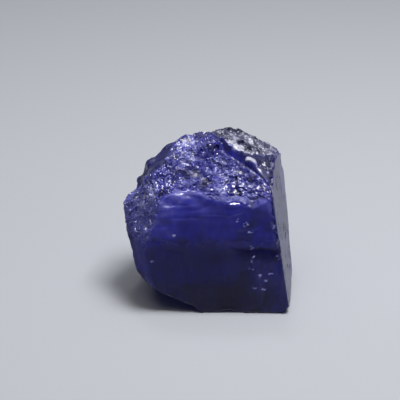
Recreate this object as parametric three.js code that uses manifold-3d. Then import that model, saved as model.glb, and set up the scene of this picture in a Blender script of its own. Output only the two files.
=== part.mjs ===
// A rough tanzanite crystal: one broken piece of gem, standing on a small flat spot.
//
// Millimetres, +Z up. The stone's broad front looks along -Y, its cleavage flank along +X.
// The origin lies on the surface that the stone rests on, under the middle of its bounding box.
//
// The stone is star shaped about its heart. Each face is a plane with a relief of its own, and a
// scoop is a shell-shaped break, a ball taken out of the stone. In any direction the surface is
// the nearest of them. The cleavage and the spot that the stone stands on are then cut dead flat.

import * as THREE from "three";
import { ImprovedNoise } from "three/addons/math/ImprovedNoise.js";
import { mergeVertices } from "three/addons/utils/BufferGeometryUtils.js";
import Module from "manifold-3d";

// ---------------------------------------------------------------- sizes

const HEART_HEIGHT = 9.0; // of the heart over the surface that the stone stands on, in mm
const heart = new THREE.Vector3(0, 0, HEART_HEIGHT);

// How rough a face is. roll: height of its broad swells, and rollSize their breadth.
// chip: depth of its shell-shaped chips, and chipSize their breadth. All in mm.
const GLASSY = { roll: 0.1, rollSize: 4.0, chip: 0.04, chipSize: 2.5 };
const GRAINY = { roll: 0.25, rollSize: 3.0, chip: 0.2, chipSize: 1.2 };
const HACKLY = { roll: 0.3, rollSize: 2.6, chip: 0.45, chipSize: 1.7 };
const CRUSTY = { roll: 0.25, rollSize: 2.0, chip: 0.35, chipSize: 1.3 };
const SHELLY = { roll: 0.3, rollSize: 4.0, chip: 0.5, chipSize: 3.0 };

// turn: the way a face looks, in degrees from +X towards +Y. rise: degrees above level.
// reach: mm from the heart to the face.
const FACES = [
  { name: "front prism face", turn: -91, rise: 12, reach: 5.85, relief: GLASSY },
  { name: "front foot", turn: -90.8, rise: 5, reach: 6.18, relief: GLASSY },
  { name: "left shoulder", turn: -149, rise: 20, reach: 7.55, relief: GRAINY },
  { name: "left shin", turn: -153, rise: -7, reach: 8.85, relief: GRAINY },
  { name: "left end", turn: 180, rise: -4, reach: 8.9, relief: GRAINY },
  { name: "left cheek", turn: 172, rise: 32, reach: 7.85, relief: GRAINY },
  { name: "left brow", turn: 168, rise: 53, reach: 7.25, relief: GLASSY },
  { name: "left foot", turn: 178, rise: -22, reach: 9.0, relief: GRAINY },
  { name: "left heel", turn: -175, rise: -44, reach: 9.55, relief: GRAINY },
  { name: "undercut", turn: -165, rise: -64, reach: 9.0, relief: GLASSY },
  { name: "top break", turn: -95, rise: 50, reach: 5.75, relief: HACKLY },
  { name: "left top break", turn: -125, rise: 48, reach: 7.1, relief: HACKLY },
  { name: "crown", turn: 150, rise: 79, reach: 7.7, relief: HACKLY },
  { name: "cap crest", turn: -29, rise: 66, reach: 7.65, relief: CRUSTY },
  { name: "cap shelf", turn: -20, rise: 53.5, reach: 8.0, relief: CRUSTY },
  { name: "cap top", turn: 75, rise: 74, reach: 8.5, relief: CRUSTY },
  { name: "cap slope", turn: 8, rise: 58, reach: 8.15, relief: CRUSTY },
  { name: "cap corner", turn: 13, rise: 40, reach: 9.5, relief: CRUSTY },
  { name: "upper back", turn: 103, rise: 42, reach: 8.35, relief: SHELLY },
  { name: "back", turn: 95, rise: 3, reach: 6.9, relief: SHELLY },
  { name: "back left", turn: 145, rise: -5, reach: 7.8, relief: SHELLY },
  { name: "lower back", turn: 110, rise: -45, reach: 8.4, relief: SHELLY },
  { name: "right heel", turn: 50, rise: -27, reach: 9.1, relief: SHELLY },
  { name: "right toe", turn: -25, rise: -48, reach: 13.15, relief: GLASSY },
  { name: "right sole", turn: 10, rise: -64, reach: 11.1, relief: GRAINY },
];

// turn and rise: the way from the heart to the ball's centre. far: mm from the heart to it.
const SCOOPS = [
  { name: "crown shell", turn: 170, rise: 79, far: 14.0, radius: 6.8, relief: HACKLY },
  { name: "upper shell", turn: -80, rise: 61, far: 11.8, radius: 6.4, relief: HACKLY },
  { name: "middle shell", turn: -68, rise: 49.5, far: 11.6, radius: 5.9, relief: HACKLY },
  { name: "right shell", turn: -62.5, rise: 36.5, far: 12.1, radius: 5.5, relief: HACKLY },
  { name: "low shell", turn: -107, rise: 50, far: 11.4, radius: 5.9, relief: HACKLY },
  { name: "lower glossy strip", turn: 176, rise: 28, far: 15.35, radius: 8.0, relief: GLASSY },
  { name: "upper glossy strip", turn: 165, rise: 50, far: 19.0, radius: 12.0, relief: GLASSY },
];

// The faces that are cut dead flat: the cleavage and the spot that the stone stands on.
const FLATS = [
  { name: "cleavage flank", turn: -6.3, rise: 9.6, reach: 7.77 },
  { name: "rest", turn: 0, rise: -90, reach: HEART_HEIGHT },
];

const MESH_DETAIL = 21; // edge divisions of the icosphere that the surface is wrapped on
const EDGE_PASSES = 2; // times that mesh points slide to the edges near them
const MOST_SLIDE = 0.45; // how far a mesh point may slide to an edge, as a share of a mesh side
const MOST_RELIEF = 1.2; // more than any relief stands out of its face, in mm
const GRAZING = 0.05; // cosine at which a ray that runs along a face no longer meets it
const BLOCK = 60; // side of the block that cuts a flat, wider than the stone, in mm

// ---------------------------------------------------------------- relief

const noise = new ImprovedNoise();

function scatter(x, y, z, salt) {
  const value = Math.sin(x * 127.1 + y * 311.7 + z * 74.7 + salt * 191.3) * 43758.5453;
  return value - Math.floor(value);
}

// Bowls about scattered seeds, which meet in sharp crests: 0 at a seed, near 1 on a crest.
function bowls(point, size) {
  const [x, y, z] = [point.x / size, point.y / size, point.z / size];
  const [i, j, k] = [x, y, z].map(Math.floor);
  let nearest = Infinity;
  for (let a = i - 1; a <= i + 1; a++) {
    for (let b = j - 1; b <= j + 1; b++) {
      for (let c = k - 1; c <= k + 1; c++) {
        const dx = a + scatter(a, b, c, 1) - x;
        const dy = b + scatter(a, b, c, 2) - y;
        const dz = c + scatter(a, b, c, 3) - z;
        nearest = Math.min(nearest, dx * dx + dy * dy + dz * dz);
      }
    }
  }
  return nearest;
}

const MEAN_BOWL = 0.35; // so that chips neither raise nor lower a face as a whole

function reliefAt(point, { roll, rollSize, chip, chipSize }) {
  const swell = noise.noise(point.x / rollSize, point.y / rollSize, point.z / rollSize);
  return roll * swell + chip * (bowls(point, chipSize) - MEAN_BOWL);
}

// ---------------------------------------------------------------- surface

function wayTo({ turn, rise }) {
  const [t, r] = [turn, rise].map(THREE.MathUtils.degToRad);
  return new THREE.Vector3(Math.cos(t) * Math.cos(r), Math.sin(t) * Math.cos(r), Math.sin(r));
}

const planes = FACES.map((face) => ({ ...face, normal: wayTo(face) }));
const balls = SCOOPS.map((scoop) => ({ ...scoop, centre: wayTo(scoop).multiplyScalar(scoop.far) }));

// How far off a ray from the heart meets a plane or enters a ball, and at what cosine.
function meet(direction, { normal, reach, centre, radius }) {
  if (normal) {
    const cosine = normal.dot(direction);
    return { distance: reach / cosine, cosine };
  }
  const along = centre.dot(direction);
  const halfChord = Math.sqrt(along ** 2 - centre.lengthSq() + radius ** 2);
  return { distance: along - halfChord, cosine: along > 0 ? halfChord / radius : 0 };
}

// The first face or scoop that a ray from the heart meets, and how far off it is.
function surfaceAlong(direction) {
  const met = [...planes, ...balls]
    .map((surface) => ({ surface, ...meet(direction, surface) }))
    .filter(({ cosine }) => cosine > GRAZING);
  const first = Math.min(...met.map(({ distance }) => distance));
  let nearest = { surface: null, distance: Infinity };
  for (const { surface, distance, cosine } of met) {
    if (distance > first + MOST_RELIEF) continue;
    const point = direction.clone().multiplyScalar(distance);
    const rough = distance + reliefAt(point, surface.relief) / Math.max(cosine, 0.5);
    if (rough < nearest.distance) nearest = { surface, distance: rough };
  }
  return nearest;
}

// Where the way from one direction to another leaves a surface, as a share of that way.
function crossing(from, to, surface) {
  let [near, far] = [0, 1];
  for (let step = 0; step < 10; step++) {
    const middle = (near + far) / 2;
    const there = from.clone().lerp(to, middle).normalize();
    if (surfaceAlong(there).surface === surface) near = middle;
    else far = middle;
  }
  return (near + far) / 2;
}

// Slides directions that lie close to an edge of the stone onto it, so that the edge is sharp.
function slideToEdges(directions, index) {
  const surfaces = directions.map((direction) => surfaceAlong(direction).surface);
  const slides = new Map();
  for (let i = 0; i < index.length; i++) {
    const a = index[i];
    const b = index[i % 3 === 2 ? i - 2 : i + 1];
    for (const [from, to] of [[a, b], [b, a]]) {
      if (surfaces[from] === surfaces[to]) continue;
      const share = crossing(directions[from], directions[to], surfaces[from]);
      if (share > MOST_SLIDE || share >= (slides.get(from)?.share ?? 1)) continue;
      slides.set(from, { share, to: directions[to].clone() });
    }
  }
  for (const [from, { share, to }] of slides) directions[from].lerp(to, share).normalize();
}

function roughMass() {
  const sphere = new THREE.IcosahedronGeometry(1, MESH_DETAIL);
  sphere.deleteAttribute("normal").deleteAttribute("uv");
  const geometry = mergeVertices(sphere, 1e-5);
  const at = geometry.getAttribute("position");
  const directions = Array.from({ length: at.count }, (_, i) =>
    new THREE.Vector3().fromBufferAttribute(at, i),
  );
  for (let pass = 0; pass < EDGE_PASSES; pass++) slideToEdges(directions, geometry.index.array);
  directions.forEach((direction, i) => {
    const point = direction.clone().multiplyScalar(surfaceAlong(direction).distance).add(heart);
    at.setXYZ(i, ...point);
  });
  return geometry;
}

// ---------------------------------------------------------------- solid

const wasm = await Module();
wasm.setup();

function solidOf(geometry) {
  const merged = mergeVertices(geometry.deleteAttribute("normal").deleteAttribute("uv"), 1e-4);
  return new wasm.Manifold(
    new wasm.Mesh({
      numProp: 3,
      vertProperties: merged.attributes.position.array,
      triVerts: new Uint32Array(merged.index.array),
    }),
  );
}

function geometryOf(solid) {
  const mesh = solid.getMesh();
  return new THREE.BufferGeometry()
    .setAttribute("position", new THREE.BufferAttribute(mesh.vertProperties, 3))
    .setIndex(new THREE.BufferAttribute(mesh.triVerts, 1));
}

function beyond(flat) {
  const up = new THREE.Vector3(0, 0, 1);
  return solidOf(
    new THREE.BoxGeometry(BLOCK, BLOCK, BLOCK)
      .translate(0, 0, BLOCK / 2 + flat.reach)
      .applyQuaternion(new THREE.Quaternion().setFromUnitVectors(up, wayTo(flat)))
      .translate(...heart),
  );
}

let stone = solidOf(roughMass());
for (const flat of FLATS) stone = stone.subtract(beyond(flat));

const geometry = geometryOf(stone);
geometry.computeBoundingBox();
const { min, max } = geometry.boundingBox;
geometry.translate(-(min.x + max.x) / 2, -(min.y + max.y) / 2, -min.z);

const material = new THREE.MeshStandardMaterial({ color: 0x2a2c74, roughness: 0.3, metalness: 0 });
const crystal = new THREE.Mesh(geometry, material);
crystal.name = "tanzanite_crystal";

const group = new THREE.Group();
group.add(crystal);
export default group;
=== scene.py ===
"""A rough tanzanite crystal on a pale floor.

The crystal is one broken piece of gem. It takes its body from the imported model, and gets here the
fine break of its surface: sugary fracture on the top, a pale crust on the cap, thin ledges on the
glassy front, pits and fine lines on the cleavage flank, and shells on the back.

Lengths are in millimetres in the shaping code, and in metres in Blender.
"""

import math

import bmesh
import bpy
from mathutils import Matrix, Vector, noise


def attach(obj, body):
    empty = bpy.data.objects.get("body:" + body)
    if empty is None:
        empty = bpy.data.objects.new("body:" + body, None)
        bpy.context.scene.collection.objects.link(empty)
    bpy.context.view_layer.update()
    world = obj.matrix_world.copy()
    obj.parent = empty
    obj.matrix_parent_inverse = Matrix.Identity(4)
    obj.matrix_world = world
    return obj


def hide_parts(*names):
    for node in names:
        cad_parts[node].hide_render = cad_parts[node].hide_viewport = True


MM = 0.001

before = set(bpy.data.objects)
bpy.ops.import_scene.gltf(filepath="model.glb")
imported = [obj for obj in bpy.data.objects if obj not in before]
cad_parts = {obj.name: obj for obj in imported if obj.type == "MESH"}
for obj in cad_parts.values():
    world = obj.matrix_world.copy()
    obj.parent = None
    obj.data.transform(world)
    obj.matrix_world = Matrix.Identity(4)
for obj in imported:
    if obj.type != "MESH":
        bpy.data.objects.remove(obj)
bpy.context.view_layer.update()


# -------- small helpers


def way(turn, rise):
    """The direction at turn degrees from +X towards +Y, and rise degrees above level."""
    t = math.radians(turn)
    r = math.radians(rise)
    return Vector((math.cos(t) * math.cos(r), math.sin(t) * math.cos(r), math.sin(r)))


def ramp(value, start, end):
    """0 before start and 1 after end, with a smooth rise between them."""
    share = min(1.0, max(0.0, (value - start) / (end - start)))
    return share * share * (3 - 2 * share)


def along(line, x):
    """The height of a line of (x, height) points at x, level past its ends."""
    if x <= line[0][0]:
        return line[0][1]
    for (x0, h0), (x1, h1) in zip(line, line[1:]):
        if x <= x1:
            return h0 + (h1 - h0) * (x - x0) / (x1 - x0)
    return line[-1][1]


# -------- where the faces are, in mm

HEART = Vector((-0.144, -0.299, 9.0))  # the middle that the faces are placed around

# turn and rise of the way that a face looks, and its distance from the heart
FACES = {
    "front": [(-91, 12, 5.85), (-90.8, 5, 6.18), (-25, -48, 13.15)],
    "left": [(-149, 20, 7.55), (-153, -7, 8.85), (180, -4, 8.9), (172, 32, 7.85), (178, -22, 9.0)],
    "under": [(-175, -44, 9.55), (-165, -64, 9.0), (10, -64, 11.1), (0, -90, 9.0)],
    "top": [
        (-95, 50, 5.75),
        (-125, 48, 7.1),
        (150, 79, 7.7),
        (168, 53, 7.25),
        (-29, 66, 7.65),
        (-20, 53.5, 8.0),
        (75, 74, 8.5),
        (8, 58, 8.15),
        (13, 40, 9.5),
    ],
    "back": [(103, 42, 8.35), (95, 3, 6.9), (145, -5, 7.8), (110, -45, 8.4), (50, -27, 9.1)],
    "flank": [(-6.3, 9.6, 7.77)],
}
PLANES = {zone: [(way(turn, rise), reach) for turn, rise, reach in f] for zone, f in FACES.items()}
FLANK_WAY, FLANK_REACH = PLANES["flank"][0]
FRONT_PLANES = PLANES["front"][:2]  # its two upright ones

ZONE_BLEND = 0.35  # how far two zones run into each other, in mm

# Seen from above: behind this line the cap stands over the broken slope.
CAP_EDGE = [
    (-0.4, 9.0),
    (0.1, 3.6),
    (0.75, 1.6),
    (1.7, 0.0),
    (2.5, -0.5),
    (3.2, -0.95),
    (4.1, -1.8),
    (4.9, -2.35),
    (5.5, -2.9),
    (6.1, -3.6),
    (6.7, -4.7),
]
# Seen from above: behind this line the cap is covered by a pale crust.
CRUST_FOOT = [
    (-0.4, 9.0),
    (0.1, 2.8),
    (0.5, 1.2),
    (1.1, -0.1),
    (1.7, -0.55),
    (2.4, -0.9),
    (3.3, -1.2),
    (4.3, -0.75),
    (5.8, 0.2),
    (6.6, 2.4),
    (7.2, 3.6),
]
# Seen from above: the dark glossy strip at the upper left lies behind this line.
STRIP_EDGE = [
    (-7.3, 0.5),
    (-6.5, -1.9),
    (-5.9, -2.45),
    (-5.2, -2.2),
    (-4.7, -1.4),
    (-4.4, 0.3),
    (-4.0, 2.6),
]
# Seen from above: the broken slope drops by a small dark ledge in front of this line.
SLOPE_LEDGE = [
    (-4.1, -2.4),
    (-3.4, -2.0),
    (-2.8, -2.0),
    (-2.0, -2.25),
    (-1.0, -2.15),
    (-0.5, -2.3),
    (-0.1, -2.9),
    (0.5, -3.9),
]
SLOPE_LEDGE_DROP = 0.34  # in mm
# Seen from the front: the height at x that the broken top comes down to.
BREAK_FOOT = [
    (-6.6, 10.9),
    (-5.9, 11.5),
    (-5.0, 12.1),
    (-4.4, 12.6),
    (-3.7, 12.9),
    (-2.0, 13.0),
    (-0.9, 12.9),
    (-0.3, 12.6),
    (0.5, 12.3),
    (1.7, 12.15),
    (4.4, 11.8),
    (5.4, 11.35),
    (6.4, 11.0),
]
SCARP_WIDTH = 0.8  # of the smooth dark step below the cap's edge, seen from above, in mm
SCARP_DROP = 0.34  # depth of the step's foot, in mm

# how cloudy, how dull and how pale each zone's skin is, from 0 to 1
SKIN = {
    "front": (0.165, 0.1, 0.12),
    "strip": (0.23, 0.3, 0.2),
    "scarp": (0.28, 0.1, 0.26),
    "hackle": (0.4, 0.12, 0.34),
    "shade": (0.27, 0.1, 0.13),
    "grain": (0.49, 0.25, 0.4),
    "crust": (0.8, 0.22, 0.35),
    "flank": (0.06, 0.34, 0.42),
    "back": (0.35, 0.26, 0.25),
    "under": (0.1, 0.5, 0.0),
}

# The smooth crescent flake of the cap's edge: x, y, z along its middle, and half its breadth.
FLAKE = [
    (3.85, -2.12, 15.28, 0.18),
    (4.1, -1.98, 15.38, 0.28),
    (4.4, -1.9, 15.36, 0.33),
    (4.7, -1.95, 15.2, 0.3),
    (4.95, -2.15, 14.96, 0.24),
    (5.2, -2.35, 14.7, 0.16),
    (5.5, -2.6, 14.42, 0.14),
    (5.85, -2.8, 14.1, 0.1),
]
FLAKE_HIGHLIGHT_TO = 4.9  # the x up to which it's white, which is painted highlight
# Pale chips: x, y, z and reach, in mm.
PALE_CHIPS = [(6.2, -2.55, 14.1, 0.22), (6.98, 3.6, 13.7, 0.35), (2.84, -0.6, 16.1, 0.45)]
# Places bruised white: the same, and how strongly.
HAZE = [
    (-3.5, -1.2, 15.6, 0.9, 1.4),
    (-3.0, 0.6, 15.8, 0.9, 1.6),
    (-2.2, 1.3, 15.9, 0.8, 1.6),
    (-2.0, -1.3, 15.3, 0.8, 1.6),
    (0.8, -1.2, 15.3, 0.8, 0.9),
    (1.6, -2.4, 14.2, 0.9, 0.9),
    (1.3, -4.3, 12.9, 0.7, 1.0),
    (2.9, -3.6, 13.4, 0.5, 0.9),
    (4.4, -4.1, 13.0, 0.5, 0.9),
    (-5.9, -3.6, 12.2, 1.1, 1.4),
    (-3.9, 1.7, 15.1, 1.1, 1.5),
    (-2.7, 2.2, 15.8, 1.0, 1.5),
    (-4.6, 0.4, 14.7, 1.0, 1.3),
    (-6.8, -3.3, 11.2, 1.0, 1.1),
    (-7.7, -2.2, 10.3, 0.8, 1.0),
]
# Smooth dark patches of the broken top.
SMOOTH_BREAKS = [
    (-2.3, -2.8, 14.3, 1.0),
    (-1.3, -2.7, 14.2, 1.1),
    (-3.2, -2.8, 14.4, 0.7),
    (2.2, -3.4, 13.7, 0.5),
    (-0.2, 0.6, 16.2, 0.9),
    (0.3, -0.6, 16.0, 0.7),
    (4.2, -3.5, 13.8, 0.6),
    (5.4, -4.3, 13.3, 0.6),
    (-0.7, 2.4, 16.4, 1.5),
    (-0.2, 4.2, 16.3, 1.1),
]
# White specks on the front: small chips whose white is partly painted glint.
SPECKS = [
    (2.9, -6.1, 10.2, 0.25),
    (3.83, -6.18, 9.7, 0.35),
    (4.25, -6.32, 8.97, 0.4),
    (4.36, -6.7, 7.31, 0.35),
    (4.45, -6.81, 6.3, 0.4),
    (4.32, -6.85, 5.6, 0.35),
    (4.38, -6.91, 4.88, 0.35),
    (5.3, -6.95, 4.3, 0.3),
    (5.86, -7.0, 3.76, 0.35),
    (6.4, -6.95, 4.6, 0.4),
    (4.8, -7.0, 2.9, 0.3),
    (5.7, -7.0, 2.7, 0.35),
    (7.0, -6.8, 4.1, 0.3),
    (7.1, -6.8, 6.2, 0.3),
    (-2.27, -6.58, 7.49, 0.2),
    (-3.6, -6.4, 8.6, 0.25),
    (-4.9, -6.2, 7.8, 0.3),
    (0.9, -6.8, 7.2, 0.2),
    (1.1, -7.05, 2.7, 0.25),
    (-0.9, -7.1, 2.2, 0.25),
    (-5.9, -6.6, 5.8, 0.3),
    (4.3, -7.1, 1.9, 0.25),
]
ON_FLANK = 0.03  # how near to the cleavage plane a point counts as on it, in mm
EDGE_FLECKS = 0.45  # how far from the cleavage its upper front edge is flecked white with painted glints, in mm
# Dark smudges on the cleavage: y and z of the middle, reach along y and along z.
FLANK_SMUDGES = [
    (-1.1, 7.35, 1.5, 0.16),
    (-0.9, 6.85, 0.8, 0.2),
    (-0.75, 6.0, 0.8, 0.35),
    (-0.4, 3.6, 0.9, 0.2),
    (-1.6, 3.85, 0.7, 0.18),
    (-1.3, 2.5, 0.7, 0.22),
    (1.5, 10.9, 0.9, 0.2),
    (0.2, 12.5, 0.9, 0.16),
    (3.0, 8.6, 0.9, 0.25),
    (4.4, 5.0, 0.8, 0.25),
]
# Small forms of the outline: x, y, z, reach, and how far out (more than 0) or in they are.
KNOBS = [
    (-8.9, -1.6, 8.2, 1.6, -0.15),
    (-8.5, -2.7, 6.7, 2.0, -0.5),
    (-8.5, -1.4, 6.0, 1.0, -0.12),
    (-8.6, -0.3, 9.9, 0.5, 0.15),
    (-8.35, 1.4, 10.1, 0.6, 0.15),
    (-7.8, 1.4, 10.7, 1.1, -0.6),
    (-8.0, 2.3, 10.6, 1.1, -0.25),
    (-7.2, 2.3, 11.8, 0.8, -0.3),
    (-7.4, 3.2, 11.5, 1.0, -0.3),
    (-6.75, 2.2, 12.5, 0.5, -0.2),
    (-7.0, 4.0, 12.05, 1.0, -0.3),
    (-6.4, 2.6, 13.1, 0.9, 0.45),
    (-6.2, 4.8, 12.9, 0.8, -0.2),
    (-5.3, 4.3, 13.6, 1.1, -0.5),
    (-5.9, 5.7, 13.0, 1.1, -0.4),
    (-5.2, 6.2, 13.5, 1.1, -0.35),
    (-4.0, 5.2, 14.6, 1.6, -0.2),
    (-1.4, 4.2, 16.0, 1.3, -0.7),
    (-0.4, 4.3, 16.2, 0.7, -0.2),
    (0.3, 3.9, 16.35, 1.0, -0.45),
    (1.4, 4.6, 16.5, 0.8, -0.2),
    (3.9, 6.0, 15.6, 0.9, -0.3),
    (4.8, 6.3, 14.8, 1.1, -0.35),
    (5.9, 6.4, 14.3, 1.1, -0.35),
    (8.15, 6.8, 11.4, 1.1, -0.25),
    (-4.2, -7.05, 1.7, 1.2, -0.25),
    (-3.1, -7.15, 1.15, 1.0, -0.25),
    (8.2, -7.15, 0.45, 0.9, 0.28),
    (-2.2, -7.2, 0.3, 1.1, -0.5),
    (0.0, -7.2, 0.1, 0.7, -0.16),
    (2.1, -7.2, 0.1, 1.8, -0.42),
    (4.8, -7.2, 0.1, 0.9, -0.25),
]
# Patches of the crust: x, y, z, reach, and how much paler (or darker) they are.
CRUST_PATCHES = [
    (2.6, 4.6, 16.2, 2.1, -1.2),
    (3.4, 0.9, 16.1, 0.8, -0.7),
    (4.3, 0.3, 15.9, 0.7, -0.6),
    (5.2, 0.5, 15.2, 0.6, -0.6),
    (2.6, -0.4, 16.1, 1.2, 1.7),
    (4.9, 3.6, 15.0, 1.1, -0.2),
    (6.9, 4.7, 13.7, 0.6, 0.6),
    (1.0, 1.6, 16.6, 1.1, -0.4),
]

# The small bright facet on the rounded crest of the front.
GLINT_AT = Vector((2.75, -5.72, 11.9))
GLINT_FACES = way(-75, 54)
GLINT_TILT = math.radians(-12)
GLINT_HALF = (0.62, 0.17)  # mm across and up
GLINT_CURVE = (7.0, 1.7)  # radii of its curve across and up, in mm
GLINT_ROOM = (1.6, 1.0)  # how far from its middle it is looked for, in mm
GLINT_SOFT = (2.4, 0.9)  # how softly its edge ends

# -------- patterns of the break, in mm

COARSE_FACET = 1.2  # sizes of the facets that the top broke into
MIDDLE_FACET = 0.48
FINE_FACET = 0.3
FACET_LEAN = 2.2  # how steeply a facet may lean
FACET_STEP = 0.5  # how far it may lie above or below its neighbours
FACET_LEVEL = 0.55  # brings the facets' usual height to 0
SHELL_STEEP = 2.2  # how fast a shell rises to its crest
HALVES = Vector((0.5, 0.5, 0.5))
LEAN_START = Vector((5.1, 1.7, 9.2))  # where the facets' random numbers start
CRUMB_START = Vector((2.2, 8.1, 4.4))  # and where the crumbs' do
BACK_BEND = Vector((0.5, 0.5, 0.9))  # how far the back's shells are bent out of round
BACK_SHELL = 2.3  # their size
UNDER_SHELL = 2.2

# The break's forms are drawn out down the slope, the way that fans out from left to right.
DOWN_AT_LEFT = -115  # degrees from +X towards +Y
DOWN_AT_RIGHT = -45
FAN = (-3.5, 3.5)  # the x between which the way turns
FAN_BACK = -2.0  # the y of the fan's middle
DRAWN_LONG = 0.62  # down the slope, where below 1 is longer
DRAWN_NARROW = 1.2  # across it

NEAR_FULL = 0.25  # the share of its reach up to which a spot is felt in full


def near(point, middle, reach):
    """1 at a middle and 0 from reach on."""
    dx = point.x - middle[0]
    if abs(dx) >= reach:
        return 0.0
    dy = point.y - middle[1]
    dz = point.z - middle[2]
    away = math.sqrt(dx * dx + dy * dy + dz * dz)
    return ramp(away, reach, NEAR_FULL * reach) if away < reach else 0.0


def nearest(point, spots, wider=1.0):
    """How near a point is to any of some spots, from 0 to 1. Each is x, y, z and reach."""
    return max(near(point, spot, spot[3] * wider) for spot in spots)


def strongest(point, spots, wider=1.0):
    """The strongest of some spots at a point. Each is x, y, z, reach and strength."""
    return max(spot[4] * near(point, spot, spot[3] * wider) for spot in spots)


def stretched(point, x=1.0, y=1.0, z=1.0):
    """The point in a space where patterns are drawn out (below 1) or squeezed (above 1)."""
    return Vector((point.x * x, point.y * y, point.z * z))


def facets(point, size, seed=0.0, ridges=False):
    """Small flat facets about size mm wide, from about -1 to 1. They meet in dents, or in ridges."""
    spot = point / size + Vector((seed, seed * 2.3, seed * 3.1))
    _, middles = noise.voronoi(spot)
    heights = []
    for middle in middles:
        lean = noise.cell_vector(middle * 13.7 + LEAN_START) - HALVES
        heights.append((spot - middle).dot(lean) * FACET_LEAN + (lean.x + lean.y) * FACET_STEP)
    return min(heights) + FACET_LEVEL if ridges else max(heights) - FACET_LEVEL


def drawn_out(point):
    """The point in a space where the break's forms are drawn out down the slope."""
    turn = math.radians(DOWN_AT_LEFT + (DOWN_AT_RIGHT - DOWN_AT_LEFT) * ramp(point.x, *FAN))
    x = point.x
    y = point.y - FAN_BACK
    ahead = x * math.cos(turn) + y * math.sin(turn)
    aside = y * math.cos(turn) - x * math.sin(turn)
    return Vector((ahead * DRAWN_LONG, aside * DRAWN_NARROW, point.z))


def crumbs(point, size, seed=0.0):
    """0 to 1, the same all over a crumb about size mm wide."""
    _, middles = noise.voronoi(point / size + Vector((seed, seed * 1.7, seed * 2.9)))
    return noise.cell_vector(middles[0] * 17.3 + CRUMB_START).x


def shells(point, size):
    """Shallow bowls that meet in crests, as glass breaks. 0 in a bowl, near 1 on a crest."""
    distances, _ = noise.voronoi(point / size)
    return min(1.0, distances[0] * distances[0] * SHELL_STEEP)


def back_shells(point):
    """The shells of the back, bent out of round."""
    return shells(point + BACK_BEND * swell(point, 1.6), BACK_SHELL)


def swell(point, size):
    """Soft swells about size mm wide, from -1 to 1."""
    return noise.noise(point / size)


# -------- which part of the stone a point is on

STRIP_END = -4.0  # the x that the strip ends at
STRIP_LOW = (10.4, 11.4)  # the heights between which it runs out below
BROW_BACK = -2.0  # the y that the front reaches back to below the broken top
SCARP_SOFT = 0.25  # how softly the step's foot ends, in mm
LEFT_FOOT = (8.2, 6.6)  # the heights between which the left end turns as smooth as the front
LEFT_SMOOTH = 0.7  # how far it does
OVER_BACK_ABOVE = (12.6, 13.4)  # the crust runs over the back's edge above these heights
OVER_BACK_FROM = (-0.8, 0.3)  # and from this x on
DENT_SHADE = (0.05, -0.25)  # facet heights between which a dent of the broken top is darkened by painted shade
SUGARY = (-0.25, 0.15)  # swells between which the broken top turns sugary
FLAKE_MIDDLE = (4.8, -2.3)  # seen from above
FLAKE_ROOM = (1.6, 1.2)  # how far from there it is looked for, in mm
PIT_EDGE = (0.5, 0.62)  # swells between which the cleavage is pitted
PIT_DEPTH = 0.045  # in mm


def past(ray, planes):
    """The furthest that a point, seen from the heart, lies past any of some planes."""
    return max(ray.dot(n) - reach for n, reach in planes)


def inside_flank(point):
    """How far a point lies inside the cleavage, in mm."""
    return FLANK_REACH - (point - HEART).dot(FLANK_WAY)


def plane_shares(point):
    """How much a point belongs to the planes of each zone, from 0 to 1."""
    ray = point - HEART
    out = {zone: past(ray, planes) for zone, planes in PLANES.items()}
    most = max(out.values())
    share = {zone: math.exp((value - most) / ZONE_BLEND * 2) for zone, value in out.items()}
    total = sum(share.values())
    return {zone: value / total for zone, value in share.items()}


def zones(point):
    """How much a point of the surface belongs to each zone, from 0 to 1."""
    share = plane_shares(point)
    top = share.pop("top")
    left = share.pop("left")
    wander = 0.18 * swell(point, 0.8) + 0.1 * swell(point, 0.3)

    strip = ramp(point.y - along(STRIP_EDGE, point.x), -0.1, 0.2) * ramp(STRIP_END - point.x, -0.3, 0.3)
    strip *= ramp(point.z, *STRIP_LOW)
    share["strip"] = (top + left) * strip
    top *= 1 - strip
    left *= 1 - strip

    low = ramp(along(BREAK_FOOT, point.x) + wander - point.z, -0.05, 0.2)
    low *= ramp(BROW_BACK - point.y, 0, 1)
    share["front"] += top * low
    top *= 1 - low

    behind = point.y - along(CAP_EDGE, point.x) + wander
    cap = ramp(behind, -0.1, 0.1)
    scarp = ramp(behind, -SCARP_WIDTH - SCARP_SOFT, -SCARP_WIDTH) * (1 - cap)
    crust = ramp(point.y - along(CRUST_FOOT, point.x) + 2 * wander, -0.1, 0.15) * cap
    share["crust"] = top * crust
    share["shade"] = top * (cap - crust)
    share["scarp"] = top * scarp
    share["hackle"] = top * (1 - cap - scarp)

    over = ramp(point.z + 1.3 * swell(point, 1.3) + 0.5 * swell(point, 0.5), *OVER_BACK_ABOVE)
    over *= share["back"] * ramp(point.x + swell(point, 1.1), *OVER_BACK_FROM)
    share["crust"] += over
    share["back"] -= over

    low_left = ramp(point.z, *LEFT_FOOT)
    share["grain"] = left * (1 - LEFT_SMOOTH * low_left)
    share["front"] += left * LEFT_SMOOTH * low_left
    return share


def smooth_break(point):
    """1 where the broken top has a smooth dark patch, and 0 elsewhere."""
    return nearest(point, SMOOTH_BREAKS)


def dent_shade_at(point):
    """1 in the dents between the facets of the broken top, which get painted shade."""
    return ramp(facets(drawn_out(point), MIDDLE_FACET, seed=3), *DENT_SHADE)


def sugary(point):
    """Where the broken top is sugary, near 1, and where it broke smooth, near 0."""
    rough = ramp(swell(point, 1.3) + 0.5 * swell(point, 0.6), *SUGARY)
    return rough * (1 - smooth_break(point))


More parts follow.
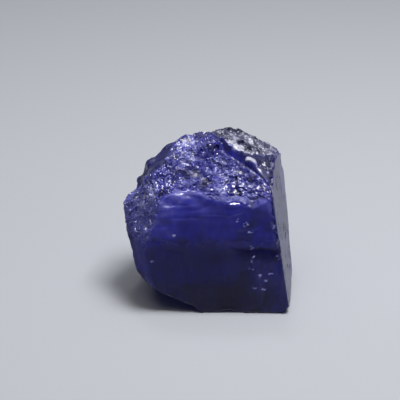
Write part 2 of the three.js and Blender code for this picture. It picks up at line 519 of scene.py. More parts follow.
def on_flake(point):
    """1 on the smooth crescent flake of the cap's edge, and 0 off it."""
    x, y = FLAKE_MIDDLE
    if abs(point.x - x) > FLAKE_ROOM[0] or abs(point.y - y) > FLAKE_ROOM[1]:
        return 0.0
    most = 0.0
    for start, end in zip(FLAKE, FLAKE[1:]):
        first = Vector(start[:3])
        reach = Vector(end[:3]) - first
        share = min(1.0, max(0.0, (point - first).dot(reach) / reach.dot(reach)))
        breadth = start[3] + (end[3] - start[3]) * share
        away = (point - first - reach * share).length
        most = max(most, ramp(away, 1.25 * breadth, 0.75 * breadth))
    return most


def flake_highlight(point):
    """The same for the white part of the flake, which is painted highlight."""
    return on_flake(point) * ramp(point.x, FLAKE_HIGHLIGHT_TO + 0.25, FLAKE_HIGHLIGHT_TO - 0.1)


def pit_at(point):
    """1 in the few small pits and smudges of the cleavage."""
    where = 0.4 * swell(Vector((2.2, point.y, point.z)), 2.6)
    pit = ramp(swell(Vector((point.y * 2.6, 7.7, point.z * 1.6)), 1.0) + where, *PIT_EDGE)
    crumbled = crumbs(Vector((0, point.y * 0.5, point.z)), 0.22)
    for y, z, reach, rise in FLANK_SMUDGES:
        inside = ((point.y - y) / reach) ** 2 + ((point.z - z) / rise) ** 2
        pit = max(pit, ramp(inside, 1.2, 0.3) * ramp(crumbled, 0.25, 0.55))
    return pit


# -------- how deep the surface broke, in mm

# Ledges on the front: x from and to, height at both ends, and depth.
LEDGES = [
    (-5.2, -1.5, 11.45, 11.6, 0.11),
    (-2.1, 0.5, 10.75, 11.55, 0.1),
    (-4.4, -0.6, 10.1, 10.35, 0.07),
    (1.3, 4.9, 10.15, 11.5, 0.12),
    (-1.0, 2.6, 10.75, 10.5, 0.08),
    (1.6, 6.6, 7.1, 7.3, 0.07),
    (-6.0, -3.8, 9.1, 9.5, 0.08),
    (2.2, 5.6, 9.0, 9.35, 0.05),
]
# Undercuts on the front, given in the same way: the surface steps back below them.
UNDERCUTS = [
    (1.8, 7.6, 7.4, 7.15, 0.3),
    (-7.2, -4.7, 8.0, 8.3, 0.3),
    (-4.9, -2.4, 7.0, 6.9, 0.1),
]
LONG_UNDERCUT = UNDERCUTS[0]
LEDGE_STRAYS = [(0.16, 0.9), (0.07, 0.3)]  # how far their lines stray, and the size of the strays
UNDERCUT_STRAYS = [(0.2, 0.9), (0.04, 0.4)]
LEDGE_FORM = (0.25, 0.8, 0.1)  # share of the length that an end takes, fall-off and lip
UNDERCUT_FORM = (0.2, 0.6, 0.25)

BROW_FOOT = 11.75  # the height from which the smooth part above the front swells out
BROW_OVER = 0.1  # how far it reaches over the foot of the broken top
BROW_OUT = 0.26  # how far it stands out for each mm of its height
BROW_WAVE = 0.05  # height of its waves

SLOPE_LEDGE_LEFT = (-4.2, -3.5)  # the x between which the slope's ledge begins
SLOPE_LEDGE_RIGHT = (0.1, -0.9)  # and those between which it ends
SLOPE_LEDGE_FADE = 1.3  # how fast the slope comes out again below it

SCARP_LEVEL = 0.05  # depth of the step's upper edge
SCARP_STREAKS = 0.05  # depth of its upright streaks
STREAKS_END = (4.4, 3.4)  # the x between which the streaks end
SCARP_LOWERS = (4.6, 6.0)  # the x between which the step grows less deep
SCARP_LESS = 0.45  # by this share

STRIP_STEP = 0.35  # depth of the glossy strip below the broken slope beside it
STRIP_BREADTH = 1.5
RIB_LENGTH = 0.85  # of the low ribs across the strip
RIB_CREST = 0.85  # the share of its length that a rib falls over
RIB_DEPTH = 0.22
RIBS_END = (2.6, 0.6)  # the y between which the ribs run out

EDGE_CHIPS = 0.7  # how far from the cleavage its edge is chipped
CHIPS_FROM = (6.6, 7.6)  # the heights from which it is chipped in full
CHIPS_BELOW = 0.25  # and the share of that below them

HACKLE_IN = 0.4  # how deep a dent of the broken top is at most
HACKLE_OUT = 0.26  # and how far a crest stands out
WAVES = 0.05  # of the low front
WAVES_BELOW = 6.4  # the height that they end at
SPECK_DEPTH = 0.1
FLAKE_OUT = 0.02  # how far the smooth flake stands out
FLAKE_HIGHLIGHT_OUT = 0.08  # and how much further its white part, which is painted highlight, does


def share_along(point, line):
    """How far along a line on the front a point is, from 0 to 1."""
    return (point.x - line[0]) / (line[1] - line[0])


def above(point, line, share, strays):
    """How far above a straying line on the front a point is, in mm."""
    height = line[2] + (line[3] - line[2]) * share
    for far, size in strays:
        height += far * swell(point, size)
    return point.z - height


def set_back(line, share, away, form):
    """How far the surface steps back at a distance past a line on the front."""
    ends, fade, lip = form
    return line[4] * ramp(min(share, 1 - share), 0, ends) * math.exp(-away / fade) * ramp(away, 0, lip)


def ledges(point):
    """How far the front is cut back by its thin ledges and undercuts."""
    cut = 0.0
    for line in UNDERCUTS:
        share = share_along(point, line)
        if 0 < share < 1:
            fall = -above(point, line, share, UNDERCUT_STRAYS)
            if fall > 0:
                cut += set_back(line, share, fall, UNDERCUT_FORM)
    for line in LEDGES:
        share = share_along(point, line)
        if 0 < share < 1:
            rise = above(point, line, share, LEDGE_STRAYS)
            if rise > 0:
                cut += set_back(line, share, rise, LEDGE_FORM)
    return cut


def brow(point):
    """How far the smooth part between the front and the broken top stands out, with soft waves."""
    top = along(BREAK_FOOT, point.x) + BROW_OVER
    if not BROW_FOOT < point.z < top:
        return 0.0
    rise = (point.z - BROW_FOOT) / (top - BROW_FOOT)
    wave = BROW_WAVE * swell(stretched(point, x=0.45), 0.45)
    return (BROW_OUT * (top - BROW_FOOT) * rise + wave * ramp(rise, 0, 0.4)) * ramp(rise, 1.0, 0.5)


def slope_ledge(point):
    """How far the slope goes in below its small dark ledge."""
    down = along(SLOPE_LEDGE, point.x) - point.y
    if down <= 0:
        return 0.0
    ends = ramp(point.x, *SLOPE_LEDGE_LEFT) * ramp(point.x, *SLOPE_LEDGE_RIGHT)
    return SLOPE_LEDGE_DROP * ends * ramp(down, 0, 0.4) * math.exp(-down / SLOPE_LEDGE_FADE)


def scarp_depth(point):
    """The step below the cap's edge, which is deepest at its foot."""
    behind = point.y - along(CAP_EDGE, point.x)
    streaks = SCARP_STREAKS * ramp(point.x, *STREAKS_END) * facets(stretched(point, z=0.5), 0.5, seed=12)
    drop = SCARP_DROP * (1 - SCARP_LESS * ramp(point.x, *SCARP_LOWERS))
    step = drop * ramp(-behind / SCARP_WIDTH, 0.0, 1.0)
    return SCARP_LEVEL + step - 0.03 * swell(point, 0.7) - streaks


def strip_depth(point):
    """The glossy strip lies deep beside the broken slope and rises to its own outer edge."""
    behind = point.y - along(STRIP_EDGE, point.x)
    along_rib = point.y / RIB_LENGTH + 0.8 * swell(point, 1.3) + 0.3 * swell(point, 0.5)
    rib = 1 - ramp(along_rib % 1.0, 0.0, RIB_CREST) + ramp(along_rib % 1.0, RIB_CREST, 1.0)
    rib *= ramp(point.y + 0.8 * swell(point, 1.5), *RIBS_END)
    fine = 0.05 * facets(point, 0.9, seed=6) * ramp(point.y, 0.5, 2.5)
    deep = RIB_DEPTH * (0.7 + 1.2 * swell(point + Vector((3, 0, 0)), 1.1))
    return STRIP_STEP * (1 - ramp(behind, 0.0, STRIP_BREADTH)) + deep * (rib - 0.5) - fine


def hackle_depth(point, middle, fine):
    """The broken top: coarse facets with sugary ones on them, and smooth patches without."""
    coarse = facets(drawn_out(point), COARSE_FACET, ridges=True)
    sugar = 0.35 + 0.65 * sugary(point)
    calm = 1 - 0.7 * smooth_break(point)
    hackle = 0.1 - 0.3 * calm * coarse - sugar * (0.2 * middle + 0.15 * fine) + slope_ledge(point)
    limit = HACKLE_IN if hackle > 0 else HACKLE_OUT
    return limit * math.tanh(hackle / limit)


def front_depth(point):
    """The glossy front: ledges, the brow above it, and low upright waves in its lower part."""
    cut = ledges(point) - 0.03 * swell(point, 1.6) - brow(point)
    if point.z < WAVES_BELOW:
        waves = WAVES * ramp(point.z, WAVES_BELOW, WAVES_BELOW - 1)
        cut -= facets(stretched(point, z=0.45), 1.6, seed=11) * waves
    return cut


def chip_depth(point):
    """The chipped edge round the cleavage."""
    inside = inside_flank(point)
    if inside >= EDGE_CHIPS:
        return 0.0
    chips = 0.14 + 0.2 * facets(point, 0.5, seed=2) + 0.22 * swell(point, 0.9)
    chips *= CHIPS_BELOW + (1 - CHIPS_BELOW) * ramp(point.z, *CHIPS_FROM)
    return max(0.0, chips) * ramp(inside, EDGE_CHIPS, 0.1)


def break_depth(point, share):
    """How far the surface goes in at a point, in mm. Less than 0 is out."""
    middle = facets(drawn_out(point), MIDDLE_FACET, seed=3)
    fine = facets(point, FINE_FACET, seed=7, ridges=True)
    hackle = hackle_depth(point, middle, fine)
    shade = facets(stretched(point, 1.7, 0.55, 0.55), 0.7, seed=13)
    crust = 0.12 - 0.2 * facets(point, 0.75, seed=5) - 0.15 * middle - 0.07 * fine
    back = 0.1 - 0.26 * back_shells(point) - 0.06 * facets(point, 0.8, seed=1)
    depth = {
        "hackle": hackle,
        "shade": 0.2 * hackle - 0.1 * shade,
        "scarp": scarp_depth(point),
        "crust": crust - 0.16 * swell(point, 0.9),
        "grain": 0.03 - 0.14 * middle - 0.08 * fine - 0.06 * swell(point, 1.1),
        "front": front_depth(point),
        "strip": strip_depth(point),
        "back": back - 0.05 * swell(point, 0.6),
        "under": 0.05 - 0.08 * shells(point, UNDER_SHELL) - 0.04 * swell(point, 0.8),
        "flank": 0.0,
    }
    cut = sum(depth[zone] * part for zone, part in share.items())
    cut += chip_depth(point)
    flake = on_flake(point)
    cut -= flake * cut
    cut -= FLAKE_OUT * flake + FLAKE_HIGHLIGHT_OUT * flake_highlight(point)
    for speck in SPECKS:
        close = near(point, speck, speck[3])
        if close > 0:
            cut += SPECK_DEPTH * close * facets(point, 0.25, seed=4)
    return cut


def knob_depth(point):
    """How far the surface goes in at the small forms of the outline."""
    cut = 0.0
    for x, y, z, reach, out in KNOBS:
        if abs(point.x - x) < reach:
            away = (point - Vector((x, y, z))).length
            cut -= out * max(0.0, 1 - away / reach)
    return cut


def flank_depth(point):
    """Pits and fine upright lines on the cleavage."""
    line = swell(Vector((point.y * 5.0, 3.3, point.z * 0.25)), 1.0)
    band = swell(Vector((point.y * 1.3, 8.3, point.z * 0.1)), 1.0)
    return 0.006 * line + 0.03 * band + PIT_DEPTH * pit_at(point)


def glint_facet(point, normal):
    """How much a point belongs to the bright facet, and how far it is to go in to lie on it."""
    away = point - GLINT_AT
    if abs(away.x) > GLINT_ROOM[0] or abs(away.z) > GLINT_ROOM[1]:
        return 0.0, 0.0
    level = Vector((0, 0, 1)).cross(GLINT_FACES).normalized()
    upward = GLINT_FACES.cross(level)
    across = away.dot(level) * math.cos(GLINT_TILT) + away.dot(upward) * math.sin(GLINT_TILT)
    up = away.dot(upward) * math.cos(GLINT_TILT) - away.dot(level) * math.sin(GLINT_TILT)
    inside = (across / GLINT_HALF[0]) ** 2 + (up / GLINT_HALF[1]) ** 2
    sag = across * across / (2 * GLINT_CURVE[0]) + up * up / (2 * GLINT_CURVE[1])
    return ramp(inside, *GLINT_SOFT), (away.dot(GLINT_FACES) + sag) / normal.dot(GLINT_FACES)


# -------- how the skin looks, from 0 to 1

GLOW_EDGE = 7.3  # the height at which the front turns dark, in mm
GLOW_TOP = (9.6, 12.2)  # the heights between which its light gathers
LOW_GLOW = 0.22  # the light at the right of the front's lower part
LOW_GLOW_LEFT = 0.1  # and at its left
UNDERCUT_SHADE_END = (1.9, 0.6)  # how far below the undercut its band of painted shade ends, in mm
HAZE_RIGHT = (-1.8, -4.9)  # the x between which the left end's haze begins
HAZE_FOOT = (7.0, 9.0)  # and the heights between which it does

FLANK_RIM = (0.32, 0.1)  # how far from the front the cleavage's pale rim ends, and is full, in mm
CHIP_WIDER = 1.4  # how much further than its reach a pale chip ends
HAZE_WIDER = 1.5  # and a bruise
FLECKED = (7.8, 11)  # the heights between which the edge of the cleavage is flecked white with painted glints


def glow_at(point):
    """How much light the front gathers: most below the broken top, and little in its lower part."""
    edge = GLOW_EDGE + 0.8 * swell(point, 2.5)
    level = 0.45 * ramp(point.z, edge - 0.9, edge + 0.9) + 0.55 * ramp(point.z, *GLOW_TOP)
    level *= 0.85 + 0.5 * swell(stretched(point, x=0.35), 0.6)
    upright = stretched(point, z=0.4)
    low = LOW_GLOW * ramp(point.x, 1.5, 6.0) + LOW_GLOW_LEFT * ramp(point.x, -2.0, -6.0)
    low = 0.35 * low + 0.65 * low * ramp(point.z, edge, edge - 1.4) - 0.04
    patches = 1.3 + 1.4 * swell(upright, 1.3) + 0.9 * swell(upright, 0.45)
    mottle = 0.14 * swell(upright, 1.2) + 0.12 * swell(upright, 0.45)
    return level + ramp(point.z, edge + 1.5, edge) * low * patches + mottle


def painted_undercut_shade(point):
    """1 in the band of painted shade below the front's long undercut, and 0 away from it."""
    share = share_along(point, LONG_UNDERCUT)
    fall = -above(point, LONG_UNDERCUT, share, UNDERCUT_STRAYS)
    end = ramp(fall + 0.5 * swell(point, 0.7), *UNDERCUT_SHADE_END)
    return ramp(share, -0.1, 0.5) * ramp(fall, -0.1, 0.2) * end


def left_haze(point):
    """The left end's haze fades out over the left part of the front, above its dark foot."""
    fade = ramp(point.x + 0.9 * swell(point, 1.2), *HAZE_RIGHT)
    return fade * ramp(point.z + 0.6 * swell(point, 0.7), *HAZE_FOOT)


def flank_rim(point):
    """1 along the front edge of the cleavage, and 0 away from it."""
    return ramp(-past(point - HEART, FRONT_PLANES), *FLANK_RIM)


def greyness(point, share):
    """Where the stone has lost its blue: the crust, the pale chips and the cleavage, and the flake's
    white part, which is painted highlight.
    """
    grey = share.get("crust", 0) + 0.25 * share.get("flank", 0)
    return min(1.0, max(grey, 0.8 * flake_highlight(point), nearest(point, PALE_CHIPS, CHIP_WIDER)))


def fleck(point):
    """1 on small scattered flecks, a little drawn out sideways."""
    return ramp(crumbs(stretched(point, x=0.7, z=1.3), 0.16), 0.7, 0.76)


def speck_white_and_glint(point):
    """The white specks on the front and its edges, partly painted glints."""
    most = 0.0
    for speck in SPECKS:
        close = near(point, speck, speck[3])
        if close > 0:
            most = max(most, 0.95 * ramp(close, 0.1, 0.3) * fleck(point))
    if ON_FLANK < inside_flank(point) < EDGE_FLECKS and FLECKED[0] < point.z < FLECKED[1]:
        most = max(most, 0.9 * fleck(point) * ramp(swell(point, 0.7), 0.0, 0.2))
    return most


def crust_white(point):
    """How white the crust is in its streaks, crumbs and patches."""
    streak = Vector((point.x * 0.5 + point.y * 0.3, point.y - point.x * 0.25, point.z))
    blotch = 0.9 * crumbs(streak, 0.6) + 0.5 * crumbs(point, 0.3, seed=3) + 0.7 * swell(streak, 0.9)
    blotch += 0.3 * ramp(point.y - along(CRUST_FOOT, point.x), 1.5, 0.3)
    blotch += sum(spot[4] * near(point, spot, spot[3]) for spot in CRUST_PATCHES)
    return ramp(blotch, 0.55, 1.5)


def back_white(point):
    """The bruised crests of the shells on the back."""
    crest = ramp(back_shells(point) + 0.9 * swell(point, 1.2), 0.9, 1.3)
    return 0.15 * crest + 0.35 * crest * fleck(point)


def bruised(point, broken):
    """The bruised white of the sugary break, for how much a point belongs to it."""
    haze = strongest(point, HAZE, HAZE_WIDER)
    drawn = drawn_out(point)
    grit = ramp(0.65 * crumbs(drawn, 0.5, seed=5) + 0.5 * crumbs(drawn, 0.27, seed=9), 0.4, 0.95)
    return broken * sugary(point) * ((0.02 + 0.26 * haze) + (0.17 + 0.5 * haze) * grit)


def whiteness(point, share):
    """How white a point is, from 0 to 1: where chips and bruises scatter the light, and where the flake
    and the specks carry painted highlight and glints.
    """
    # the flake's white is painted highlight, and the specks' white is partly painted glints
    most = max(0.85 * flake_highlight(point), nearest(point, PALE_CHIPS, CHIP_WIDER), speck_white_and_glint(point))
    if share.get("crust", 0) > 0:
        most = max(most, share["crust"] * crust_white(point))
    if share.get("back", 0) > 0:
        most = max(most, share["back"] * back_white(point))
    broken = share.get("hackle", 0) + 0.8 * share.get("grain", 0)
    return min(1.0, max(most, bruised(point, broken)))


# -------- the crystal's mesh

VOXEL = 0.122 * MM  # the side of the small faces that the surface is worked in
ON_FLOOR = 0.02  # how low a point counts as on the floor, in mm
SMOOTH = ("front", "strip", "scarp", "flank", "under", "back")  # zones without a fine crackle
ROUGH_SUM = 2.0  # a face is flat and sharp where its corners' rough marks add up to this
LEAST_CLOUD = 0.36  # how cloudy the broken top is at least
LEAST_PALE = 0.25  # and how pale
WHITE_CLOUD = 0.85  # how cloudy the white places are
CLIFF = 0.45  # a face this far turned away from the surface's own way counts as a cliff
CLIFF_CLOUD = 0.75
CLIFF_PALE = 0.34
CLIFF_PASSES = 2  # of smoothing
SATIN_FOOT = 0.28  # how much duller the front is in its lower part
SATIN_FOOT_AT = (8.8, 7.2)  # the heights between which it turns so, in mm
# Dull spots: x, y, z, reach, and how much duller they are.
SATIN_SPOTS = [
    (-3.2, -4.75, 12.95, 0.7, 0.9),
    (-2.3, -3.4, 13.3, 1.0, 0.5),
    (-1.4, -3.3, 13.5, 0.8, 0.4),
    (6.0, -3.2, 13.9, 1.0, 0.6),
    (-4.4, -5.6, 11.75, 1.0, 0.3),
    (1.6, -5.3, 12.4, 1.0, 0.6),
    (2.8, -5.3, 12.4, 1.0, 0.7),
    (4.0, -5.3, 12.4, 1.1, 0.6),
]
SHOULDER_ROUND = 0.7  # half the breadth of the rounding at the left shoulder, in mm
SHOULDER_PASSES = 60
SHOULDER_FOOT = 0.3  # the height below which nothing is rounded, in mm
SHOULDER_BACK = -2  # and the y from the heart behind it
FRONT_BEND = 0.09  # how far apart the front's two planes are where their bend is rounded, in mm
MERGE = 0.0001 * MM  # points as near as this are made one


def fine_copy(node, name):
    """A copy of a node's mesh, merged and made of small even faces."""
    mesh = node.data.copy()
    mesh.materials.clear()
    work = bmesh.new()
    work.from_mesh(mesh)
    bmesh.ops.remove_doubles(work, verts=work.verts, dist=MERGE)
    work.to_mesh(mesh)
    work.free()
    piece = bpy.data.objects.new(name, mesh)
    bpy.context.scene.collection.objects.link(piece)
    remesh = piece.modifiers.new("fine", "REMESH")
    remesh.mode = "VOXEL"
    remesh.voxel_size = VOXEL
    ready = piece.evaluated_get(bpy.context.evaluated_depsgraph_get())
    piece.data = bpy.data.meshes.new_from_object(ready)
    piece.data.name = name
    piece.modifiers.clear()
    return piece


def smooth_out(work, verts, passes):
    """Evens out some points of a mesh."""
    for _ in range(passes):
        bmesh.ops.smooth_vert(
            work, verts=verts, factor=0.5, use_axis_x=True, use_axis_y=True, use_axis_z=True
        )


def round_shoulder(piece):
    """Rounds the front's creases at the left shoulder and across it, and evens the glossy strip."""
    work = bmesh.new()
    work.from_mesh(piece.data)
    crease = [vert for vert in work.verts if zones(vert.co / MM)["strip"] > 0.6]
    for vert in work.verts:
        ray = vert.co / MM - HEART
        if vert.co.z < SHOULDER_FOOT * MM or ray.y > SHOULDER_BACK:
            continue
        front = past(ray, FRONT_PLANES)
        left = past(ray, PLANES["left"][:2])
        top = past(ray, PLANES["top"])
        bend = past(ray, FRONT_PLANES[:1]) - past(ray, FRONT_PLANES[1:])
        if abs(front - left) < SHOULDER_ROUND and top < max(front, left):
            crease.append(vert)
        elif front > max(left, top) and abs(bend) < FRONT_BEND:
            crease.append(vert)
    smooth_out(work, crease, SHOULDER_PASSES)
    work.to_mesh(piece.data)
    work.free()


def worked(spot, normal):
    """Where a point of the surface goes, its zones, and how much it belongs to the bright facet."""
    point = spot.copy()
    if spot.z < ON_FLOOR:
        point.z = max(knob_depth(spot), 0.0)
        return point, {"under": 1.0}, 0.0
    inside = inside_flank(spot)
    if inside < ON_FLANK and normal.dot(FLANK_WAY) > 0.9:
        point += FLANK_WAY * (inside - flank_depth(spot) - max(knob_depth(spot), 0.0))
        return point, {"flank": 1.0}, 0.0
    skin = zones(spot)
    cut = break_depth(spot, skin) + knob_depth(spot)
    glint, glint_cut = glint_facet(spot, normal)
    point -= normal * (cut + (glint_cut - cut) * glint)
    point += FLANK_WAY * min(0.0, inside_flank(point))
    point.z = max(point.z, 0.0)
    return point, skin, glint


def zone_marks(skin):
    """How cloudy, dull and pale the zones make a point."""
    return [sum(SKIN[zone][k] * part for zone, part in skin.items()) for k in range(3)]


def top_marks(spot, skin, cloud, pale):
    """Cloud and pale on the broken top, with painted shade in its dents, and the crust's darker patches.
    """
    hackle = skin.get("hackle", 0)
    # painted shade: the dents between the facets are made clearer and darker
    dent_shade = hackle * dent_shade_at(spot)
    deep = hackle * smooth_break(spot)
    pale += 0.22 * skin.get("scarp", 0) * swell(spot, 0.6)
    cloud = max(cloud - 0.05 * dent_shade, LEAST_CLOUD * hackle)
    pale = max(pale - 0.09 * dent_shade - 0.17 * deep, LEAST_PALE * (hackle - 0.4 * deep))
    patch = hackle * swell(spot, 1.1) * (1 - smooth_break(spot))
    shades = sum(min(tone, 0) * near(spot, (x, y, z), reach) for x, y, z, reach, tone in CRUST_PATCHES)
    return cloud + 0.14 * patch, pale + 0.2 * patch + 0.45 * skin.get("crust", 0) * shades


def front_marks(spot, point, skin, cloud, pale):
    """Cloud and pale on the front: its glow, the dark band of painted shade below the undercut and the
    haze at its left.
    """
    front = skin.get("front", 0)
    # painted light: where the front glows, its skin is made paler and cloudier
    glow = front * glow_at(spot)
    # painted shade: the band below the long undercut is made clearer and darker
    band = front * painted_undercut_shade(spot)
    haze = front * left_haze(spot)
    cloud += 0.29 * glow
    cloud -= 0.16 * band
    cloud += 0.13 * haze
    pale += 0.22 * glow
    pale -= 0.12 * band
    pale += haze * (0.1 + 0.2 * swell(stretched(point, x=0.6, z=1.2), 0.6))
    return cloud, pale


def flank_marks(spot, point, cloud, pale):
    """Cloud and pale on the cleavage: its rim, its pits, and what shines through it."""
    # painted light: the upper back of the cleavage is made paler and cloudier for the light that shines
    # through it
    painted_shine = ramp(point.y, 1.0, 4.5) * ramp(point.z, 6.0, 8.0)
    cloud += 0.05 + 0.12 * ramp(point.z, 7.0, 1.0)
    cloud += 0.14 * painted_shine
    pale += 0.35 * flank_rim(spot) - 0.4 * pit_at(spot)
    pale += 0.08 + 0.08 * ramp(point.z, 6.0, 0.0)
    pale += 0.2 * painted_shine
    return cloud, pale


def dull_mark(spot, point, skin, glint, dull):
    """Dull spots, the flake, the front's satin foot and the pits of the cleavage."""
    dull += strongest(spot, SATIN_SPOTS) * (1 - glint)
    dull += 0.8 * on_flake(spot) - 0.35 * flake_highlight(spot)
    dull += SATIN_FOOT * skin.get("front", 0) * ramp(point.z + 0.6 * swell(point, 1.0), *SATIN_FOOT_AT)
    if skin.get("flank", 0) == 1:
        dull += 0.5 * pit_at(spot)
    return dull


def mark_cliffs(work, outward, marks):
    """Makes the steep sides of the break pale and cloudy, and evens them out."""
    cliffs = []
    for vert, normal in zip(work.verts, outward):
        if vert[marks["rough"]] > 0.5 and vert.normal.dot(normal) < CLIFF:
            cliffs.append(vert)
            vert[marks["cloud"]] = max(vert[marks["cloud"]], CLIFF_CLOUD)
            vert[marks["pale"]] = max(vert[marks["pale"]], CLIFF_PALE)
    smooth_out(work, cliffs, CLIFF_PASSES)


def work_surface(piece):
    """Cuts the break into the surface, and marks on it how cloudy, pale, dull and grey it is."""
    work = bmesh.new()
    work.from_mesh(piece.data)
    marks = {}
    for name in ("cloud", "dull", "pale", "grey", "rough"):
        marks[name] = work.verts.layers.float.new(name)
    work.normal_update()
    outward = [vert.normal.copy() for vert in work.verts]
    for vert, normal in zip(work.verts, outward):
        spot = vert.co / MM
        point, skin, glint = worked(spot, normal)
        cloud, dull, pale = zone_marks(skin)
        cloud, pale = top_marks(spot, skin, cloud, pale)
        cloud, pale = front_marks(spot, point, skin, cloud, pale)
        if skin.get("flank", 0) == 1:
            cloud, pale = flank_marks(spot, point, cloud, pale)
        white = whiteness(spot, skin)
        vert[marks["cloud"]] = cloud + (WHITE_CLOUD - cloud) * white
        vert[marks["pale"]] = pale + (1 - pale) * white
        vert[marks["dull"]] = dull_mark(spot, point, skin, glint, dull)
        vert[marks["grey"]] = greyness(spot, skin)
        vert[marks["rough"]] = 1 - max(on_flake(spot), sum(skin.get(zone, 0) for zone in SMOOTH))
        vert[marks["rough"]] *= 1 - 0.3 * smooth_break(spot)
        vert.co = point * MM
    work.normal_update()
    mark_cliffs(work, outward, marks)
    for face in work.faces:
        face.smooth = sum(vert[marks["rough"]] for vert in face.verts) < ROUGH_SUM
    work.to_mesh(piece.data)
    work.free()


crystal = fine_copy(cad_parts["tanzanite_crystal"], "tanzanite_crystal_broken")
round_shoulder(crystal)
work_surface(crystal)


# -------- finishes

GEM_IOR = 1.69
GEM_DEPTH = (0.2, 0.2, 0.86, 1)  # the colour that passes through the gem
GEM_DENSITY = 480.0  # per metre
SKIN_REACH = (0.5, 0.5, 0.3)  # how far red, green and blue scatter in the cloudy skin
SKIN_SCALE = 0.7 * MM
# The skin's colour at each step from dark (0) to pale (1), where it is blue and where it is grey.
BLUE_STEPS = [
    (0.0, (0.1, 0.1, 0.22)),
    (0.1, (0.14, 0.14, 0.34)),
    (0.3, (0.14, 0.14, 0.72)),
    (0.5, (0.28, 0.285, 0.8)),
    (0.75, (0.44, 0.445, 0.83)),
    (1.0, (0.75, 0.755, 0.95)),
]
GREY_STEPS = [
    (0.1, (0.022, 0.024, 0.075)),
    (0.55, (0.165, 0.165, 0.285)),
    (1.0, (0.7, 0.7, 0.83)),
]
GRIT_SCALE = 1800  # of the fine grit in the skin's colour, per metre
GRIT_SHARE = 0.8  # how far it makes a pale place paler or darker
GLOSS_SCALE = 900  # of the cloudiness in its gloss
GLOSS_LEAST = 0.6  # the share of its dullness that a place keeps
GLOSS_SPREAD = 0.8
CRACKLE_SCALE = 5200  # of the fine crackle in the broken skin
CRACKLE_DEPTH = 0.05 * MM
CRACKLE_STRENGTH = 0.4  # of its bump
FLOOR_COLOUR = (0.475, 0.492, 0.53, 1)
CARD_COLOUR = (0.08, 0.082, 0.11, 1)


def tanzanite():
    """Clear blue-violet gem: light is absorbed inside, and the broken skin scatters some of it."""
    material = bpy.data.materials.new("tanzanite")
    material.use_nodes = True
    tree = material.node_tree
    tree.nodes.clear()
    link = tree.links.new
    out = tree.nodes.new("ShaderNodeOutputMaterial")
    gem = tree.nodes.new("ShaderNodeBsdfPrincipled")
    gem.inputs["IOR"].default_value = GEM_IOR
    gem.inputs["Subsurface Radius"].default_value = SKIN_REACH
    gem.inputs["Subsurface Scale"].default_value = SKIN_SCALE
    link(gem.outputs["BSDF"], out.inputs["Surface"])

    depth = tree.nodes.new("ShaderNodeVolumeAbsorption")
    depth.inputs["Color"].default_value = GEM_DEPTH
    depth.inputs["Density"].default_value = GEM_DENSITY
    link(depth.outputs["Volume"], out.inputs["Volume"])

    place = tree.nodes.new("ShaderNodeTexCoord")

    def mark(name):
        attribute = tree.nodes.new("ShaderNodeAttribute")
        attribute.attribute_name = name
        return attribute.outputs["Fac"]

    def math_of(kind, a, b, clamp=False):
        made = tree.nodes.new("ShaderNodeMath")
        made.operation = kind
        made.use_clamp = clamp
        for socket, value in zip(made.inputs, (a, b)):
            if isinstance(value, (int, float)):
                socket.default_value = value
            else:
                link(value, socket)
        return made.outputs[0]

    def mottle(scale, detail=4.0, rough=0.6):
        made = tree.nodes.new("ShaderNodeTexNoise")
        made.inputs["Scale"].default_value = scale
        made.inputs["Detail"].default_value = detail
        made.inputs["Roughness"].default_value = rough
        link(place.outputs["Object"], made.inputs["Vector"])
        return made.outputs["Fac"]

    def colour_of(value, steps):
        made = tree.nodes.new("ShaderNodeValToRGB")
        link(value, made.inputs["Fac"])
        row = made.color_ramp.elements
        for end, (position, colour) in zip(row, (steps[0], steps[-1])):
            end.position = position
            end.color = (*colour, 1)
        for position, colour in steps[1:-1]:
            row.new(position).color = (*colour, 1)
        return made.outputs["Color"]

    grit = math_of("SUBTRACT", mottle(GRIT_SCALE, detail=5, rough=0.65), 0.5)
    gritty = math_of("MULTIPLY", grit, math_of("MULTIPLY", mark("pale"), GRIT_SHARE))
    pale = math_of("ADD", mark("pale"), gritty, True)
    tint = tree.nodes.new("ShaderNodeMix")
    tint.data_type = "RGBA"
    link(mark("grey"), tint.inputs["Factor"])
    link(colour_of(pale, BLUE_STEPS), tint.inputs["A"])
    link(colour_of(pale, GREY_STEPS), tint.inputs["B"])
    link(tint.outputs["Result"], gem.inputs["Base Color"])
    link(math_of("SUBTRACT", 1.0, mark("grey"), True), gem.inputs["Subsurface Weight"])
    link(math_of("SUBTRACT", 1.0, mark("cloud"), True), gem.inputs["Transmission Weight"])

    uneven = math_of("ADD", GLOSS_LEAST, math_of("MULTIPLY", mottle(GLOSS_SCALE), GLOSS_SPREAD))
    link(math_of("MULTIPLY", mark("dull"), uneven, True), gem.inputs["Roughness"])

    crackle = tree.nodes.new("ShaderNodeTexVoronoi")
    crackle.inputs["Scale"].default_value = CRACKLE_SCALE
    link(place.outputs["Object"], crackle.inputs["Vector"])
    bump = tree.nodes.new("ShaderNodeBump")
    bump.inputs["Distance"].default_value = CRACKLE_DEPTH
    bump.inputs["Strength"].default_value = CRACKLE_STRENGTH
    link(math_of("MULTIPLY", crackle.outputs["Distance"], mark("rough")), bump.inputs["Height"])
    link(bump.outputs["Normal"], gem.inputs["Normal"])
    return material


def plain(name, colour, roughness, specular=0.5):
    """A plain matt finish for the floor and the card."""
    material = bpy.data.materials.new(name)
    material.use_nodes = True
    matt = material.node_tree.nodes["Principled BSDF"]
    matt.inputs["Base Color"].default_value = colour
    matt.inputs["Roughness"].default_value = roughness
    matt.inputs["Specular IOR Level"].default_value = specular
    return material


crystal.data.materials.append(tanzanite())
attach(crystal, "root")
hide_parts("tanzanite_crystal")


# -------- floor, light and camera

FLOOR_HALF = 1200 * MM
CARD_HALF = 25 * MM
CARD_NEAR = -7.5 * MM  # the card's near edge, just in front of the stone
CARD_LIFT = 0.05 * MM
CARD_LEFT = -9.6 * MM
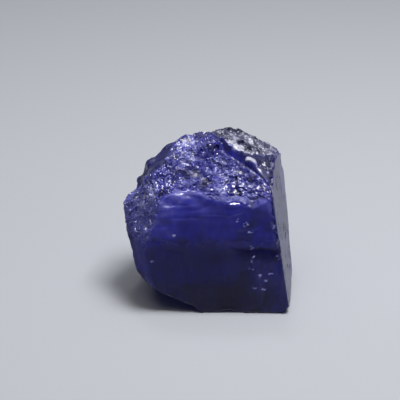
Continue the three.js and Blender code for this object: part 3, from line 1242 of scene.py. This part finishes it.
# Soft square lights: name, turn and rise of their place, distance and side in mm, and power.
LIGHTS = [
    ("softbox", -10, 75, 200, 80, 0.38),
    ("back light", 100, 62, 250, 40, 0.05),
    ("ceiling panel", 95, 86, 330, 460, 0.495),
]
SKY_COLOUR = (0.86, 0.88, 1.0, 1)
SKY_STRENGTH = 0.05

CAMERA_RISE = 24.0  # degrees above level
CAMERA_AWAY = 160.5  # mm from the stone's heart
CAMERA_LENS = 135  # mm
CAMERA_SENSOR = 36  # mm
CAMERA_CLIP = (0.01, 10)
CAMERA_SIDE = 400  # pixels
TARGET_AT = (207.5, 208.0)  # pixel that the heart falls on


def add_square(work, at, turn=None):
    """Adds a square of the dark card to a mesh, level or stood up."""
    square = bmesh.ops.create_grid(work, x_segments=1, y_segments=1, size=CARD_HALF)
    if turn:
        bmesh.ops.rotate(work, matrix=turn, verts=square["verts"])
    bmesh.ops.translate(work, vec=at, verts=square["verts"])


def flat_piece(name, work, material):
    """Makes an object of a bmesh, for the floor or the card."""
    mesh = bpy.data.meshes.new(name)
    work.to_mesh(mesh)
    work.free()
    piece = bpy.data.objects.new(name, mesh)
    bpy.context.scene.collection.objects.link(piece)
    piece.data.materials.append(material)
    return piece


def lay_floor():
    work = bmesh.new()
    bmesh.ops.create_grid(work, x_segments=1, y_segments=1, size=FLOOR_HALF)
    floor = flat_piece("floor", work, plain("pale_card", FLOOR_COLOUR, roughness=0.85, specular=0.2))


def set_dark_card():
    """A dark card in front of the stone, which shows only in the gloss of its front."""
    work = bmesh.new()
    add_square(work, (0, CARD_NEAR - CARD_HALF, CARD_LIFT))
    add_square(work, (CARD_LEFT - CARD_HALF, 0, CARD_LIFT))
    add_square(work, (0, CARD_NEAR - 2 * CARD_HALF, 0), Matrix.Rotation(math.radians(90), 3, "X"))
    card = flat_piece("dark_card", work, plain("dark_card", CARD_COLOUR, roughness=1.0))
    card.visible_camera = False
    card.visible_diffuse = False
    card.visible_shadow = False
    card.visible_transmission = False


def look_at_heart(name, data, turn, rise, away):
    """Places a light or camera, away mm from the heart, so that it looks at the heart."""
    held = bpy.data.objects.new(name, data)
    direction = way(turn, rise)
    held.location = (HEART + direction * away) * MM
    held.rotation_euler = direction.to_track_quat("Z", "Y").to_euler()
    bpy.context.scene.collection.objects.link(held)
    return held


def hang_light(name, turn, rise, distance, side, power):
    lamp = bpy.data.lights.new(name, "AREA")
    lamp.shape = "SQUARE"
    lamp.size = side * MM
    lamp.energy = power
    look_at_heart(name, lamp, turn, rise, distance)


def set_camera():
    data = bpy.data.cameras.new("camera")
    data.lens = CAMERA_LENS
    data.sensor_width = CAMERA_SENSOR
    data.clip_start, data.clip_end = CAMERA_CLIP
    data.shift_x = (CAMERA_SIDE / 2 - TARGET_AT[0]) / CAMERA_SIDE
    data.shift_y = (TARGET_AT[1] - CAMERA_SIDE / 2) / CAMERA_SIDE
    bpy.context.scene.camera = look_at_heart("camera", data, -90, CAMERA_RISE, CAMERA_AWAY)


def set_surroundings():
    world = bpy.data.worlds.new("studio")
    world.use_nodes = True
    sky = world.node_tree.nodes["Background"]
    sky.inputs["Color"].default_value = SKY_COLOUR
    sky.inputs["Strength"].default_value = SKY_STRENGTH
    bpy.context.scene.world = world
    bpy.context.scene.view_settings.view_transform = "Standard"


lay_floor()
set_dark_card()
for light in LIGHTS:
    hang_light(*light)
set_camera()
set_surroundings()
